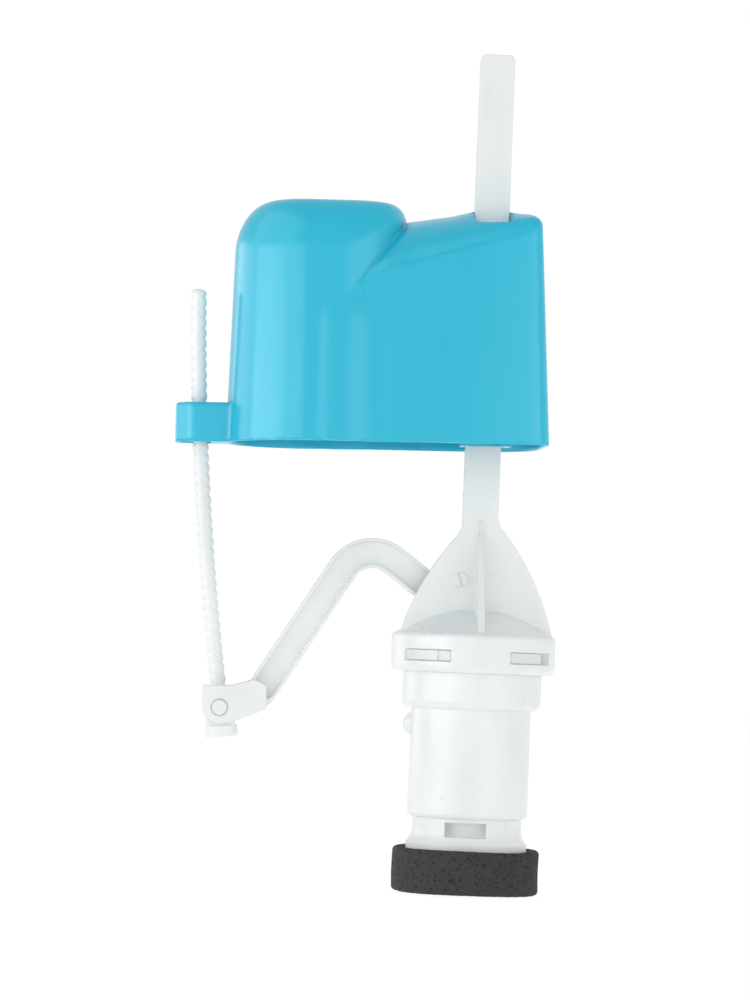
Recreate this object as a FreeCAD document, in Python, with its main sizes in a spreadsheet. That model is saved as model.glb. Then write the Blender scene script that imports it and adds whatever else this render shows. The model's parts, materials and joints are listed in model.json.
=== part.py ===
"""Cistern float valve: bottom inlet, pilot-operated diaphragm, cranked lever, float on a flat stem.

Frame: +Z up along the stem, +X away from the level rod, -Y towards the fin with the pivot's head.
The origin is the centre of the inlet's mating plane. Millimetres and degrees.
"""
import FreeCAD
import Part
import math
import os
import Sketcher

SIZES = (
    # Body: inlet spigot, neck with outlet windows, barrel and collar
    ("spigot_radius", 10.2), ("spigot_height", 10.5),
    ("thread_radius", 7.475), ("thread_length", 10.0),
    ("recess_radius", 7.9), ("recess_top", 12.8),
    ("lip_radius", 15.1), ("lip_top", 12.4), ("lip_flare", 4.5), ("floor_top", 12.5),
    ("neck_radius", 13.6), ("neck_bottom", 15.6), ("neck_top", 18.6), ("neck_bore", 11.6),
    ("barrel_radius", 14.95), ("barrel_bore", 13.0), ("barrel_top", 45.6), ("barrel_round", 1.2),
    ("collar_radius", 17.3), ("collar_top", 54.6), ("collar_round", 1.9),
    ("rim_radius", 15.6), ("rim_top", 58.0),
    ("riser_radius", 9.0), ("riser_bore", 5.5), ("riser_top", 48.0),
    ("window_width", 10.1), ("window_bottom", 14.1), ("window_height", 3.6), ("window_turn", -7.0),
    ("nub_reach", 2.1), ("nub_height", 6.4), ("nub_level", 41.5),
    # Foam seating ring
    ("foam_radius", 18.4), ("foam_bore", 10.3), ("foam_round", 1.0),
    # Inlet and seat inserts
    ("washer_radius", 7.8), ("washer_bore", 5.2), ("flange_thick", 0.8),
    ("strainer_radius", 5.3), ("strainer_wall", 0.7), ("strainer_top", 24.0), ("strainer_slot", 1.1),
    ("restrictor_bore", 2.0), ("restrictor_bottom", 28.0), ("restrictor_height", 8.0),
    ("insert_gap", 0.06), ("nozzle_bore", 3.6), ("nozzle_flange", 8.5), ("nozzle_bottom", 43.0),
    ("seat_radius", 4.8), ("seat_base", 50.0), ("seat_top", 51.5),
    ("seal_wire", 0.55), ("seal_level", 45.3), ("seal_groove", 4.3),
    # Diaphragm group
    ("bead_inner", 13.2), ("bead_outer", 15.4), ("bead_height", 2.35), ("web_thick", 0.9),
    ("plate_radius", 8.5), ("plate_thick", 1.5), ("plate_bottom", 54.5), ("plate_boss", 1.8),
    ("rubber_bottom", 53.0), ("rubber_top", 54.3), ("bleed_radius", 0.6), ("wire_radius", 0.4),
    # Bonnet
    ("skirt_radius", 20.5), ("skirt_bore", 18.6), ("skirt_top", 64.4), ("skirt_round", 1.5),
    ("shoulder_radius", 19.2), ("dome_flat", 4.0), ("dome_top", 70.6), ("dome_curve", 34.0),
    ("clamp_level", 60.42), ("ceiling", 61.6), ("chamber_radius", 12.8), ("chamber_side", 65.2),
    ("chamber_top", 68.6), ("clamp_outer", 15.5),
    ("slot_angle", 40.0), ("slot_offset", 41.0), ("slot_bottom", 57.2), ("slot_height", 2.9),
    ("lug_angle", 29.0), ("lug_reach", 20.15), ("lug_gap", 0.8),
    ("lug_play", 0.2), ("stop_step", 0.35), ("ring_radius", 18.4),
    ("ring_bottom", 54.7), ("ring_top", 60.2), ("bonnet_seal_wire", 0.62), ("bonnet_seal_radius", 17.0),
    # Fin, gusset, ear and stem
    ("fin_front", -6.2), ("fin_thick", 2.5), ("fin_base", 63.0), ("fin_foot_level", 64.5),
    ("fin_foot_half", 18.8), ("fin_neck_half", 5.2), ("fin_neck_level", 91.0), ("fin_top", 93.0),
    ("fin_curve", 66.0), ("fin_drop", 2.0), ("rib_thick", 1.8), ("rib_reach", 19.4), ("rib_top", 88.7),
    ("rib_top_reach", 8.0), ("rib_line_thick", 0.7), ("rib_line_top", 92.4), ("rib_line_reach", 6.8),
    ("ear_front", 3.7), ("ear_thick", 2.5), ("ear_base", 67.0), ("ear_radius", 5.0), ("ear_foot", 8.0),
    ("stem_half", 4.4), ("stem_top_half", 4.27), ("stem_thick", 3.0),
    ("stem_top", 209.3), ("stem_round", 1.5),
    # Lever
    ("pivot_across", -4.5), ("pivot_level", 77.6), ("pivot_radius", 1.5), ("pivot_gap", 0.06),
    ("pin_head", 1.85), ("pin_head_thick", 0.5), ("pin_tail", 6.8), ("pin_slot", 0.6),
    ("pin_slot_lean", 20.0), ("hub_radius", 3.2), ("hub_half", 3.3),
    ("lever_half", 3.7), ("lever_thick_half", 2.5), ("lever_rim", 0.8), ("lever_web_half", 0.9),
    ("nose_across", 1.0), ("nose_level", 77.0), ("knee_across", -13.2), ("knee_level", 76.2),
    ("arch_across", -28.6), ("arch_level", 87.4), ("arch_round", 8.7), ("knee_round", 4.5),
    ("elbow_across", -52.9), ("elbow_level", 47.5),
    ("fork_across", -62.9), ("fork_level", 43.7), ("fork_radius", 4.1), ("fork_half", 4.8),
    ("fork_top", 49.0), ("fork_slot_half", 3.1), ("fork_slot_end", -57.3), ("fork_bore", 2.2),
    ("close_angle", 11.65), ("pad_radius", 1.9), ("pad_thick", 1.6), ("pad_closed_level", 72.12),
    ("jet_radius", 1.6), ("jet_bore", 0.45), ("jet_bottom", 67.2), ("jet_top", 72.0),
    # Level rod and its shoe
    ("rod_radius", 2.05), ("rod_top_across", -72.6), ("rod_top", 147.7),
    ("rod_grip_across", -71.0), ("rod_grip_level", 118.0),
    ("rod_bow_across", -70.1), ("rod_bow_level", 103.0),
    ("rod_mid_across", -67.2), ("rod_mid_level", 76.0),
    ("rod_foot_across", -62.75), ("rod_foot", 42.0), ("rod_bend", 60.0),
    ("shoe_half", 3.5), ("shoe_depth_half", 2.75), ("shoe_over", 4.6), ("shoe_under", 4.2),
    ("shoe_socket", 2.2), ("shoe_socket_floor", 3.2), ("shoe_lean", 7.4), ("stub_radius", 1.85),
    ("stub_reach", 4.9), ("knob_radius", 4.1), ("knob_height", 2.9), ("knob_round", 0.9),
    # Float
    ("float_rim", 109.5), ("float_draft", 1.9), ("float_wall", 1.5), ("float_front", -18.8),
    ("float_back", 17.2), ("float_right", 15.4), ("front_corner", 5.0), ("back_corner", 14.0),
    ("box_top", 169.6), ("lobe_across", -44.7), ("lobe_stretch", 7.7), ("lobe_radius", 19.3),
    ("lobe_top", 170.2), ("lobe_round", 8.0), ("notch_across", -19.3), ("notch_depth", 2.0),
    ("notch_level", 166.5), ("crease_across", -33.9), ("crease_level", 148.0),
    ("roof_end_across", 7.2), ("roof_end_level", 163.9),
    ("float_lean", 1.35), ("lean_across", -62.0),
    ("sleeve_half", 6.4), ("sleeve_shift", 0.7), ("sleeve_front", -8.0), ("sleeve_back", -1.4),
    ("guide_gap", 0.4),
    ("bracket_left", -76.5), ("bracket_half_depth", 5.5), ("bracket_height", 9.2),
    ("bracket_bevel", 3.5), ("passage_left", -75.0), ("passage_right", -67.6),
    ("passage_half_depth", 2.45),
)


class Size:
    """A number worked out from the sheet, with the expression that gives it."""

    def __init__(self, value, text):
        self.value = value
        self.text = text

    def __add__(self, other):
        other = as_size(other)
        return Size(self.value + other.value, f"({self.text} + {other.text})")

    def __sub__(self, other):
        other = as_size(other)
        return Size(self.value - other.value, f"({self.text} - {other.text})")

    def __mul__(self, other):
        other = as_size(other)
        return Size(self.value * other.value, f"({self.text} * {other.text})")

    def __neg__(self):
        return Size(-self.value, f"(0 - {self.text})")


class Sheet:
    """The driving dimensions: a spreadsheet whose aliases read as attributes."""

    def __init__(self, doc, sizes):
        self.cells = doc.addObject("Spreadsheet::Sheet", "Sizes")
        for row, (alias, value) in enumerate(sizes, start=1):
            self.cells.set(f"A{row}", alias)
            self.cells.set(f"B{row}", str(value))
            self.cells.setAlias(f"B{row}", alias)
        doc.recompute()

    def __getattr__(self, alias):
        return Size(float(getattr(self.cells, alias)), f"Sizes.{alias}")


doc = FreeCAD.newDocument("float_valve")
dim = Sheet(doc, SIZES)
UP = FreeCAD.Vector(0, 0, 1)
BACK = FreeCAD.Vector(0, 1, 0)
PLANE_TURN = {"XY": FreeCAD.Rotation(), "XZ": FreeCAD.Rotation(FreeCAD.Vector(1, 0, 0), 90)}
AXIS_TURN = {
    "Z": FreeCAD.Rotation(),
    "Y": FreeCAD.Rotation(FreeCAD.Vector(1, 0, 0), -90),
}


def as_size(number):
    return number if isinstance(number, Size) else Size(float(number), repr(float(number)))


def bind(obj, **properties):
    """Bind each property of obj to a size."""
    for path, size in properties.items():
        obj.setExpression(path.replace("__", "."), as_size(size).text)
    return obj


def place(obj, across=0, depth=0, level=0):
    """Bind an object's position."""
    for axis, size in zip("xyz", (across, depth, level)):
        obj.setExpression(f"Placement.Base.{axis}", as_size(size).text)
    return obj


# Sketches

def new_sketch(name, plane, body=None, offset=0):
    """An empty sketch on a plane of its body, or free, moved along the plane's normal by offset."""
    if body is None:
        sketch = doc.addObject("Sketcher::SketchObject", name)
        sketch.Placement = FreeCAD.Placement(FreeCAD.Vector(), PLANE_TURN[plane])
        return sketch
    sketch = body.newObject("Sketcher::SketchObject", name)
    origin_plane = next(f for f in body.Origin.OriginFeatures if f.Role == f"{plane}_Plane")
    sketch.AttachmentSupport = [(origin_plane, "")]
    sketch.MapMode = "FlatFace"
    sketch.setExpression("AttachmentOffset.Base.z", as_size(offset).text)
    return sketch


def arc_between(start, end, radius, turn):
    """The shorter arc from start to end; turn is 1 for counter-clockwise and -1 for clockwise."""
    chord = end - start
    rise = math.sqrt(max(radius ** 2 - (chord.Length / 2) ** 2, 0.0))
    side = FreeCAD.Vector(-chord.y, chord.x, 0).normalize() * turn
    centre = (start + end) * 0.5 + side * rise
    first, last = (start, end) if turn > 0 else (end, start)
    circle = Part.Circle(centre, FreeCAD.Vector(0, 0, 1), radius)
    return Part.ArcOfCircle(circle, circle.parameter(first), circle.parameter(last))


def draw(sketch, points, closed=True):
    """Draw an outline. A point is (x, y) or (x, y, radius, turn), where an arc leads to the next."""
    spots = [FreeCAD.Vector(as_size(p[0]).value, as_size(p[1]).value, 0) for p in points]
    count = len(points) if closed else len(points) - 1
    starts, ends = [], []
    for index in range(count):
        point = points[index]
        start, end = spots[index], spots[(index + 1) % len(spots)]
        if len(point) == 2:
            geometry = sketch.addGeometry(Part.LineSegment(start, end))
            forward = True
        else:
            radius, turn = as_size(point[2]), point[3]
            geometry = sketch.addGeometry(arc_between(start, end, radius.value, turn))
            forward = turn > 0
            rule = sketch.addConstraint(Sketcher.Constraint("Radius", geometry, radius.value))
            sketch.setExpression(f"Constraints[{rule}]", radius.text)
        starts.append((geometry, 1 if forward else 2))
        ends.append((geometry, 2 if forward else 1))
    for index in range(count if closed else count - 1):
        following = (index + 1) % count
        sketch.addConstraint(Sketcher.Constraint("Coincident", *ends[index], *starts[following]))
    vertices = starts if closed else starts + [ends[-1]]
    for vertex, point in zip(vertices, points):
        for kind, coordinate in (("DistanceX", point[0]), ("DistanceY", point[1])):
            coordinate = as_size(coordinate)
            rule = sketch.addConstraint(Sketcher.Constraint(kind, -1, 1, *vertex, coordinate.value))
            sketch.setExpression(f"Constraints[{rule}]", coordinate.text)
    return sketch


def draw_circle(sketch, x, y, radius):
    x, y, radius = as_size(x), as_size(y), as_size(radius)
    centre = FreeCAD.Vector(x.value, y.value, 0)
    circle = sketch.addGeometry(Part.Circle(centre, FreeCAD.Vector(0, 0, 1), radius.value))
    rules = (("DistanceX", (-1, 1, circle, 3), x), ("DistanceY", (-1, 1, circle, 3), y),
             ("Radius", (circle,), radius))
    for kind, where, size in rules:
        rule = sketch.addConstraint(Sketcher.Constraint(kind, *where, size.value))
        sketch.setExpression(f"Constraints[{rule}]", size.text)
    return sketch


def draw_path(sketch, points, radii):
    """An open path of straight runs; each inner corner is rounded by a tangent arc of its radius."""
    spots = [FreeCAD.Vector(as_size(x).value, as_size(y).value, 0) for x, y in points]
    tangent_points = [spots[0]]
    for before, corner, after, radius in zip(spots, spots[1:], spots[2:], radii):
        inward, outward = (before - corner).normalize(), (after - corner).normalize()
        reach = as_size(radius).value / math.tan(inward.getAngle(outward) / 2)
        tangent_points += [corner + inward * reach, corner + outward * reach]
    tangent_points.append(spots[-1])
    lines = [sketch.addGeometry(Part.LineSegment(a, b))
             for a, b in zip(tangent_points[::2], tangent_points[1::2])]
    for index, radius in enumerate(radii):
        radius = as_size(radius)
        a, b = tangent_points[2 * index + 1], tangent_points[2 * index + 2]
        before, corner, after = spots[index:index + 3]
        turn = 1 if (corner - before).cross(after - corner).z > 0 else -1
        arc = sketch.addGeometry(arc_between(a, b, radius.value, turn))
        first, last = (1, 2) if turn > 0 else (2, 1)
        sketch.addConstraint(Sketcher.Constraint("Tangent", lines[index], 2, arc, first))
        sketch.addConstraint(Sketcher.Constraint("Tangent", lines[index + 1], 1, arc, last))
        rule = sketch.addConstraint(Sketcher.Constraint("Radius", arc, radius.value))
        sketch.setExpression(f"Constraints[{rule}]", radius.text)
        mark = sketch.addGeometry(Part.Point(corner), True)
        sketch.addConstraint(Sketcher.Constraint("PointOnObject", mark, 1, lines[index]))
        sketch.addConstraint(Sketcher.Constraint("PointOnObject", mark, 1, lines[index + 1]))
        fix_vertex(sketch, (mark, 1), points[index + 1])
    fix_vertex(sketch, (lines[0], 1), points[0])
    fix_vertex(sketch, (lines[-1], 2), points[-1])
    return sketch


def fix_vertex(sketch, vertex, point):
    """Hold a sketch vertex at a point whose two coordinates are sizes."""
    for kind, coordinate in (("DistanceX", point[0]), ("DistanceY", point[1])):
        coordinate = as_size(coordinate)
        rule = sketch.addConstraint(Sketcher.Constraint(kind, -1, 1, *vertex, coordinate.value))
        sketch.setExpression(f"Constraints[{rule}]", coordinate.text)


# Features

def new_body(label):
    body = doc.addObject("PartDesign::Body", label)
    body.Label = label
    return body


def turned(label, points):
    """A body turned about Z from an outline of (radius, level) points."""
    body = new_body(label)
    sketch = draw(new_sketch(f"{label}_section", "XZ", body), points)
    turn = body.newObject("PartDesign::Revolution", f"{label}_turn")
    turn.Profile = sketch
    turn.ReferenceAxis = (sketch, ["V_Axis"])
    turn.Angle = 360
    body.Tip = turn
    return body


def plate(label, points, front, thick):
    """A flat plate whose outline of (across, level) points lies in XZ; it runs from front to +Y."""
    body = new_body(label)
    sketch = draw(new_sketch(f"{label}_outline", "XZ", body, -as_size(front)), points)
    pad = body.newObject("PartDesign::Pad", f"{label}_pad")
    pad.Profile = sketch
    pad.Reversed = True
    pad.setExpression("Length", as_size(thick).text)
    body.Tip = pad
    return body


def box(label, low, high):
    """A block from its lowest corner to its highest."""
    block = doc.addObject("Part::Box", label)
    spans = [as_size(b) - a for a, b in zip(low, high)]
    bind(block, Length=spans[0], Width=spans[1], Height=spans[2])
    return place(block, *low)


def cylinder(label, radius, height, foot=(0, 0, 0), axis="Z", angle=360):
    rod = doc.addObject("Part::Cylinder", label)
    rod.Placement = FreeCAD.Placement(FreeCAD.Vector(), AXIS_TURN[axis])
    bind(rod, Radius=radius, Height=height, Angle=angle)
    return place(rod, *foot)


def ring(label, radius, wire, level):
    """A ring of round section, such as an O-ring."""
    torus = doc.addObject("Part::Torus", label)
    bind(torus, Radius1=radius, Radius2=wire)
    return place(torus, level=level)


def fuse(label, *shapes):
    whole = doc.addObject("Part::MultiFuse", label)
    whole.Shapes = list(shapes)
    whole.Refine = True
    return whole


def cut(label, base, *tools):
    tool = tools[0] if len(tools) == 1 else fuse(f"{label}_cutters", *tools)
    result = doc.addObject("Part::Cut", label)
    result.Base = base
    result.Tool = tool
    result.Refine = True
    return result


def rounded(label, base, radius, wanted):
    """Round the edges of base for which wanted(edge) is true."""
    doc.recompute()
    rounding = doc.addObject("Part::Fillet", label)
    rounding.Base = base
    size = as_size(radius).value
    rounding.Edges = [(number, size, size)
                      for number, edge in enumerate(base.Shape.Edges, start=1) if wanted(edge)]
    return rounding


def moved(label, obj, axis, angle, spot=(0, 0, 0)):
    """An object turned about an axis through its own origin, then put at a spot."""
    whole = doc.addObject("Part::Compound", label)
    whole.Links = [obj]
    numbers = [as_size(size).value for size in spot]
    whole.Placement = FreeCAD.Placement(FreeCAD.Vector(*numbers),
                                        FreeCAD.Rotation(axis, as_size(angle).value))
    return whole


# Body and what sits in its bore

def make_valve_body():
    d = dim
    outline = [
        (d.thread_radius, 0), (d.spigot_radius, 0), (d.spigot_radius, d.spigot_height),
        (d.lip_radius, d.spigot_height), (d.lip_radius, d.lip_top, d.lip_flare, -1),
        (d.neck_radius, d.neck_bottom),
        (d.neck_radius, d.neck_top), (d.barrel_radius - d.barrel_round, d.neck_top, d.barrel_round, 1),
        (d.barrel_radius, d.neck_top + d.barrel_round), (d.barrel_radius, d.barrel_top),
        (d.collar_radius - d.collar_round, d.barrel_top, d.collar_round, 1),
        (d.collar_radius, d.barrel_top + d.collar_round), (d.collar_radius, d.collar_top),
        (d.rim_radius, d.collar_top), (d.rim_radius, d.rim_top), (d.barrel_bore, d.rim_top),
        (d.barrel_bore, d.neck_top + 1), (d.neck_bore, d.neck_top), (d.neck_bore, d.floor_top),
        (d.riser_radius, d.floor_top), (d.riser_radius, d.riser_top), (d.riser_bore, d.riser_top),
        (d.riser_bore, d.recess_top), (d.recess_radius, d.recess_top),
        (d.recess_radius, d.thread_length), (d.thread_radius, d.thread_length),
    ]
    shell = turned("body_shell", outline)
    nub = doc.addObject("Part::Ellipsoid", "body_nub")
    bind(nub, Radius1=d.nub_height * 0.5, Radius2=d.nub_reach * 2, Radius3=d.nub_reach)
    place(nub, -d.barrel_radius + d.nub_reach, 0, d.nub_level)
    nub_clear = cylinder("nub_clear", d.barrel_bore + 1, d.barrel_top)
    nub_shell = cut("nub_shell", nub, nub_clear)
    opening = box("window_box", (-d.window_width * 0.5, -d.lip_radius, d.window_bottom),
                  (d.window_width * 0.5, d.lip_radius, d.window_bottom + d.window_height))
    opening_turned = moved("window_turned", opening, UP, d.window_turn)
    riser_keep = cylinder("riser_keep", d.riser_radius + 1, d.neck_top)
    windows = cut("windows", opening_turned, riser_keep)
    return cut("valve_body", fuse("body_with_nub", shell, nub_shell), windows)


def make_foam_ring():
    d = dim
    inner, outer, round_off = d.foam_bore, d.foam_radius, d.foam_round
    top = d.spigot_height
    return turned("foam_ring", [
        (inner, 0), (outer - round_off, 0, round_off, 1), (outer, round_off),
        (outer, top - round_off, round_off, 1), (outer - round_off, top), (inner, top),
    ])


def make_inlet_washer():
    d = dim
    low, high = d.thread_length, d.recess_top - d.flange_thick
    return turned("inlet_washer", [
        (d.washer_bore, low), (d.washer_radius, low), (d.washer_radius, high), (d.washer_bore, high)])


def make_inlet_strainer():
    d = dim
    inner = d.strainer_radius - d.strainer_wall
    base = d.recess_top - d.flange_thick
    cup = turned("strainer_cup", [
        (inner, base), (d.washer_radius - 0.1, base), (d.washer_radius - 0.1, d.recess_top),
        (d.strainer_radius, d.recess_top), (d.strainer_radius, d.strainer_top),
        (0, d.strainer_top), (0, d.strainer_top - d.strainer_wall), (inner, d.strainer_top - d.strainer_wall),
    ])
    slots = []
    for index in range(4):
        slot = box(f"strainer_slot_{index}", (-d.strainer_radius, -d.strainer_slot * 0.5, d.recess_top + 1.5),
                   (d.strainer_radius, d.strainer_slot * 0.5, d.strainer_top - 2))
        slots.append(moved(f"strainer_slot_turned_{index}", slot, UP, 45 * index))
    return cut("inlet_strainer", cup, *slots)


def make_flow_restrictor():
    d = dim
    outer = d.riser_bore - d.insert_gap
    low, high = d.restrictor_bottom, d.restrictor_bottom + d.restrictor_height
    mouth = outer - 0.8
    return turned("flow_restrictor", [
        (mouth, low), (outer, low), (outer, high), (d.restrictor_bore, high),
        (d.restrictor_bore, low + 2.5)])


def make_seat_nozzle():
    d = dim
    sleeve = d.riser_bore - d.insert_gap
    groove_low, groove_high = d.seal_level - 0.7, d.seal_level + 0.7
    return turned("seat_nozzle", [
        (d.nozzle_bore, d.nozzle_bottom), (sleeve, d.nozzle_bottom), (sleeve, groove_low),
        (d.seal_groove, groove_low), (d.seal_groove, groove_high), (sleeve, groove_high),
        (sleeve, d.riser_top), (d.nozzle_flange, d.riser_top), (d.nozzle_flange, d.seat_base),
        (d.seat_radius, d.seat_base), (d.seat_radius - 0.3, d.seat_top), (d.nozzle_bore, d.seat_top)])


def make_seat_o_ring():
    return ring("seat_o_ring", dim.riser_bore - dim.seal_wire - 0.02, dim.seal_wire, dim.seal_level)


def make_metering_pin():
    """A wire up the middle, held by a bar that lies across the nozzle's bore."""
    d = dim
    wire = cylinder("pin_wire", d.wire_radius, d.clamp_level - d.nozzle_bottom, (0, 0, d.nozzle_bottom))
    half = d.nozzle_bore - d.insert_gap
    bar = box("pin_bar", (-half, -0.6, d.nozzle_bottom), (half, 0.6, d.nozzle_bottom + 2))
    bar_round = cylinder("pin_bar_round", half, 2, (0, 0, d.nozzle_bottom))
    clipped = doc.addObject("Part::MultiCommon", "pin_bar_clipped")
    clipped.Shapes = [bar, bar_round]
    return fuse("metering_pin", wire, clipped)


def make_diaphragm():
    """A clamped bead and a sloping web round a flat centre, in the raised, open position."""
    d = dim
    bead_low = d.rim_top + 0.03
    bead_high = bead_low + d.bead_height
    foot = d.plate_radius + 0.5
    return turned("diaphragm", [
        (d.plate_boss + 0.1, d.rubber_bottom), (foot, d.rubber_bottom),
        (d.barrel_bore - 0.6, bead_low + 0.3), (d.bead_inner, bead_low), (d.bead_outer, bead_low),
        (d.bead_outer, bead_high), (d.bead_inner, bead_high),
        (d.bead_inner - 0.6, bead_low + 0.6 + d.web_thick), (foot - 0.4, d.rubber_top),
        (d.plate_boss + 0.1, d.rubber_top)])


def make_diaphragm_plate():
    d = dim
    top = d.plate_bottom + d.plate_thick
    return turned("diaphragm_plate", [
        (d.bleed_radius, d.rubber_bottom - 0.4), (d.plate_boss, d.rubber_bottom - 0.4),
        (d.plate_boss, d.plate_bottom), (d.plate_radius - 0.4, d.plate_bottom),
        (d.plate_radius - 0.4, top), (d.bleed_radius, top)])


# Bonnet and what is fixed to it

def sector(label, inner, outer, low, height, middle, spread):
    """A ring sector: middle and spread are angles about Z, measured from +X."""
    wedge = cylinder(f"{label}_wedge", outer, height, (0, 0, low), angle=spread)
    core = cylinder(f"{label}_core", inner, height, (0, 0, low))
    arc = cut(f"{label}_arc", wedge, core)
    return moved(label, arc, UP, middle - spread * 0.5)


def slot_middles():
    """Angles from +X of the four bayonet windows: two each side of the front, and two behind."""
    front = Size(-90, "-90")
    back = Size(90, "90")
    return [front - dim.slot_offset, front + dim.slot_offset, back - dim.slot_offset, back + dim.slot_offset]


def make_bayonet_ring():
    d = dim
    low, height = d.ring_bottom, d.ring_top - d.ring_bottom
    inner = d.rim_radius + d.insert_gap
    band = cut("ring_band", cylinder("ring_outer", d.ring_radius, height, (0, 0, low)),
               cylinder("ring_inner", inner, height, (0, 0, low)))
    low, height = d.slot_bottom + d.lug_play, d.slot_height - d.lug_play * 2
    shift = (d.slot_angle - d.lug_angle) * 0.5 - d.lug_gap
    middles = slot_middles()
    lugs = [sector(f"lug_{index}", inner + 1, d.lug_reach, low, height, middle - shift, d.lug_angle)
            for index, middle in enumerate(middles)]
    stop_angle = d.slot_angle - d.lug_angle - d.lug_gap * 2
    stop_shift = (d.slot_angle - stop_angle) * 0.5 - d.lug_gap
    stops = [sector(f"lug_stop_{index}", inner + 1, d.lug_reach - d.stop_step, low, height,
                    middles[index] + stop_shift, stop_angle + 0.2)
             for index in (0, 2)]
    return fuse("bayonet_ring", band, *lugs, *stops)


def make_bonnet_o_ring():
    d = dim
    level = d.ceiling - d.bonnet_seal_wire - 0.05
    return ring("bonnet_o_ring", d.bonnet_seal_radius, d.bonnet_seal_wire, level)


def make_bonnet():
    """Cap, fin with its gusset, rear ear and flat stem, moulded in one."""
    d = dim
    cap = turned("bonnet_cap", [
        (d.skirt_bore, d.collar_top), (d.skirt_radius - d.skirt_round, d.collar_top, d.skirt_round, 1),
        (d.skirt_radius, d.collar_top + d.skirt_round),
        (d.skirt_radius, d.skirt_top - d.skirt_round, d.skirt_round, 1),
        (d.shoulder_radius, d.skirt_top, d.dome_curve, 1), (d.dome_flat, d.dome_top), (0, d.dome_top),
        (0, d.chamber_top), (d.dome_flat, d.chamber_top), (d.chamber_radius, d.chamber_side),
        (d.chamber_radius, d.clamp_level), (d.clamp_outer, d.clamp_level), (d.clamp_outer, d.ceiling),
        (d.skirt_bore, d.ceiling)])
    foot, neck = d.fin_foot_half, d.fin_neck_half
    fin = plate("bonnet_fin", [
        (-foot, d.fin_base), (foot, d.fin_base), (foot, d.fin_foot_level, d.fin_curve, 1),
        (neck, d.fin_neck_level), (d.stem_half, d.fin_top), (-d.stem_half, d.fin_top),
        (-d.stem_half, d.fin_top - d.fin_drop), (-neck, d.fin_neck_level - d.fin_drop, d.fin_curve, 1),
        (-foot, d.fin_foot_level)], d.fin_front, d.fin_thick)
    half, top_half, top, corner = d.stem_half, d.stem_top_half, d.stem_top, d.stem_round
    stem = plate("bonnet_stem", [
        (-half, d.fin_neck_level), (half, d.fin_neck_level), (top_half, top - corner, corner, 1),
        (top_half - corner, top), (corner - top_half, top, corner, 1), (-top_half, top - corner)],
        d.fin_front, d.stem_thick)
    rib = gusset("bonnet_rib", d.rib_thick, d.skirt_top - 1, d.rib_reach, d.rib_top, d.rib_top_reach)
    line = gusset("bonnet_line", d.rib_line_thick, d.rib_top - 1, d.rib_top_reach, d.rib_line_top,
                  d.rib_line_reach)
    pivot_x, pivot_z = d.pivot_across, d.pivot_level
    ear = plate("bonnet_ear", [
        (pivot_x - d.ear_foot, d.ear_base), (pivot_x + d.ear_foot, d.ear_base),
        (pivot_x + d.ear_radius, pivot_z, d.ear_radius, 1),
        (pivot_x, pivot_z + d.ear_radius, d.ear_radius, 1),
        (pivot_x - d.ear_radius, pivot_z)], d.ear_front, d.ear_thick)
    bore = d.pivot_radius + d.pivot_gap
    pivot_bore = cylinder("pivot_bore", bore, 30, (pivot_x, -15, pivot_z), "Y")
    jet_bore = cylinder("jet_seat", d.jet_radius + d.insert_gap, 10, (0, 0, d.jet_bottom - 2))
    slots = [sector(f"slot_{index}", d.skirt_bore - 1, d.skirt_radius + 1, d.slot_bottom, d.slot_height,
                    middle, d.slot_angle)
             for index, middle in enumerate(slot_middles())]
    whole = fuse("bonnet_whole", cap, fin, stem, rib, line, ear)
    return cut("bonnet", whole, pivot_bore, jet_bore, *slots)


def gusset(label, thick, low, low_reach, high, high_reach):
    """A rib standing out of the fin's front, thick across X, reaching forward to -Y."""
    body = new_body(label)
    sketch = draw(new_sketch(f"{label}_side", "YZ", body, -thick * 0.5), [
        (dim.fin_front + 1, low), (dim.fin_front + 1, high), (-high_reach, high), (-low_reach, low)])
    pad = body.newObject("PartDesign::Pad", f"{label}_pad")
    pad.Profile = sketch
    pad.setExpression("Length", thick.text)
    body.Tip = pad
    return body


def make_pilot_nozzle():
    d = dim
    return turned("pilot_nozzle", [
        (d.jet_bore, d.jet_bottom), (d.jet_radius, d.jet_bottom), (d.jet_radius, d.jet_top - 0.6),
        (d.jet_bore + 0.5, d.jet_top), (d.jet_bore, d.jet_top)])


def make_pivot_pin():
    """A round pin with a slotted head in front of the fin."""
    d = dim
    x, z = d.pivot_across, d.pivot_level
    head_front = d.fin_front - d.pin_head_thick
    shaft = cylinder("pivot_shaft", d.pivot_radius, d.pin_tail - head_front, (x, head_front, z), "Y")
    head = cylinder("pivot_head", d.pin_head, d.pin_head_thick, (x, head_front, z), "Y")
    groove = box("pivot_groove", (-d.pin_slot * 0.5, head_front, -3),
                 (d.pin_slot * 0.5, head_front + d.pin_slot, 3))
    groove_turned = moved("pivot_groove_turned", groove, BACK, -d.pin_slot_lean, (x, 0, z))
    return cut("pivot_pin", fuse("pivot_whole", shaft, head), groove_turned)


# Lever, pad, shoe and rod

def strip(label, points, radii, half_width, front, back):
    """A strip of even width along a path in XZ, round at its ends, from front to back along Y."""
    path = draw_path(new_sketch(f"{label}_path", "XZ"), points, radii)
    outline = doc.addObject("Part::Offset2D", f"{label}_outline")
    outline.Source = path
    outline.Mode = "Pipe"
    outline.Join = "Arc"
    outline.Fill = True
    outline.setExpression("Value", half_width.text)
    solid = doc.addObject("Part::Extrusion", label)
    solid.Base = outline
    solid.DirMode = "Custom"
    solid.Dir = FreeCAD.Vector(0, 1, 0)
    solid.Solid = True
    solid.setExpression("LengthFwd", as_size(back).text)
    solid.setExpression("LengthRev", (-as_size(front)).text)
    return solid


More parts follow.
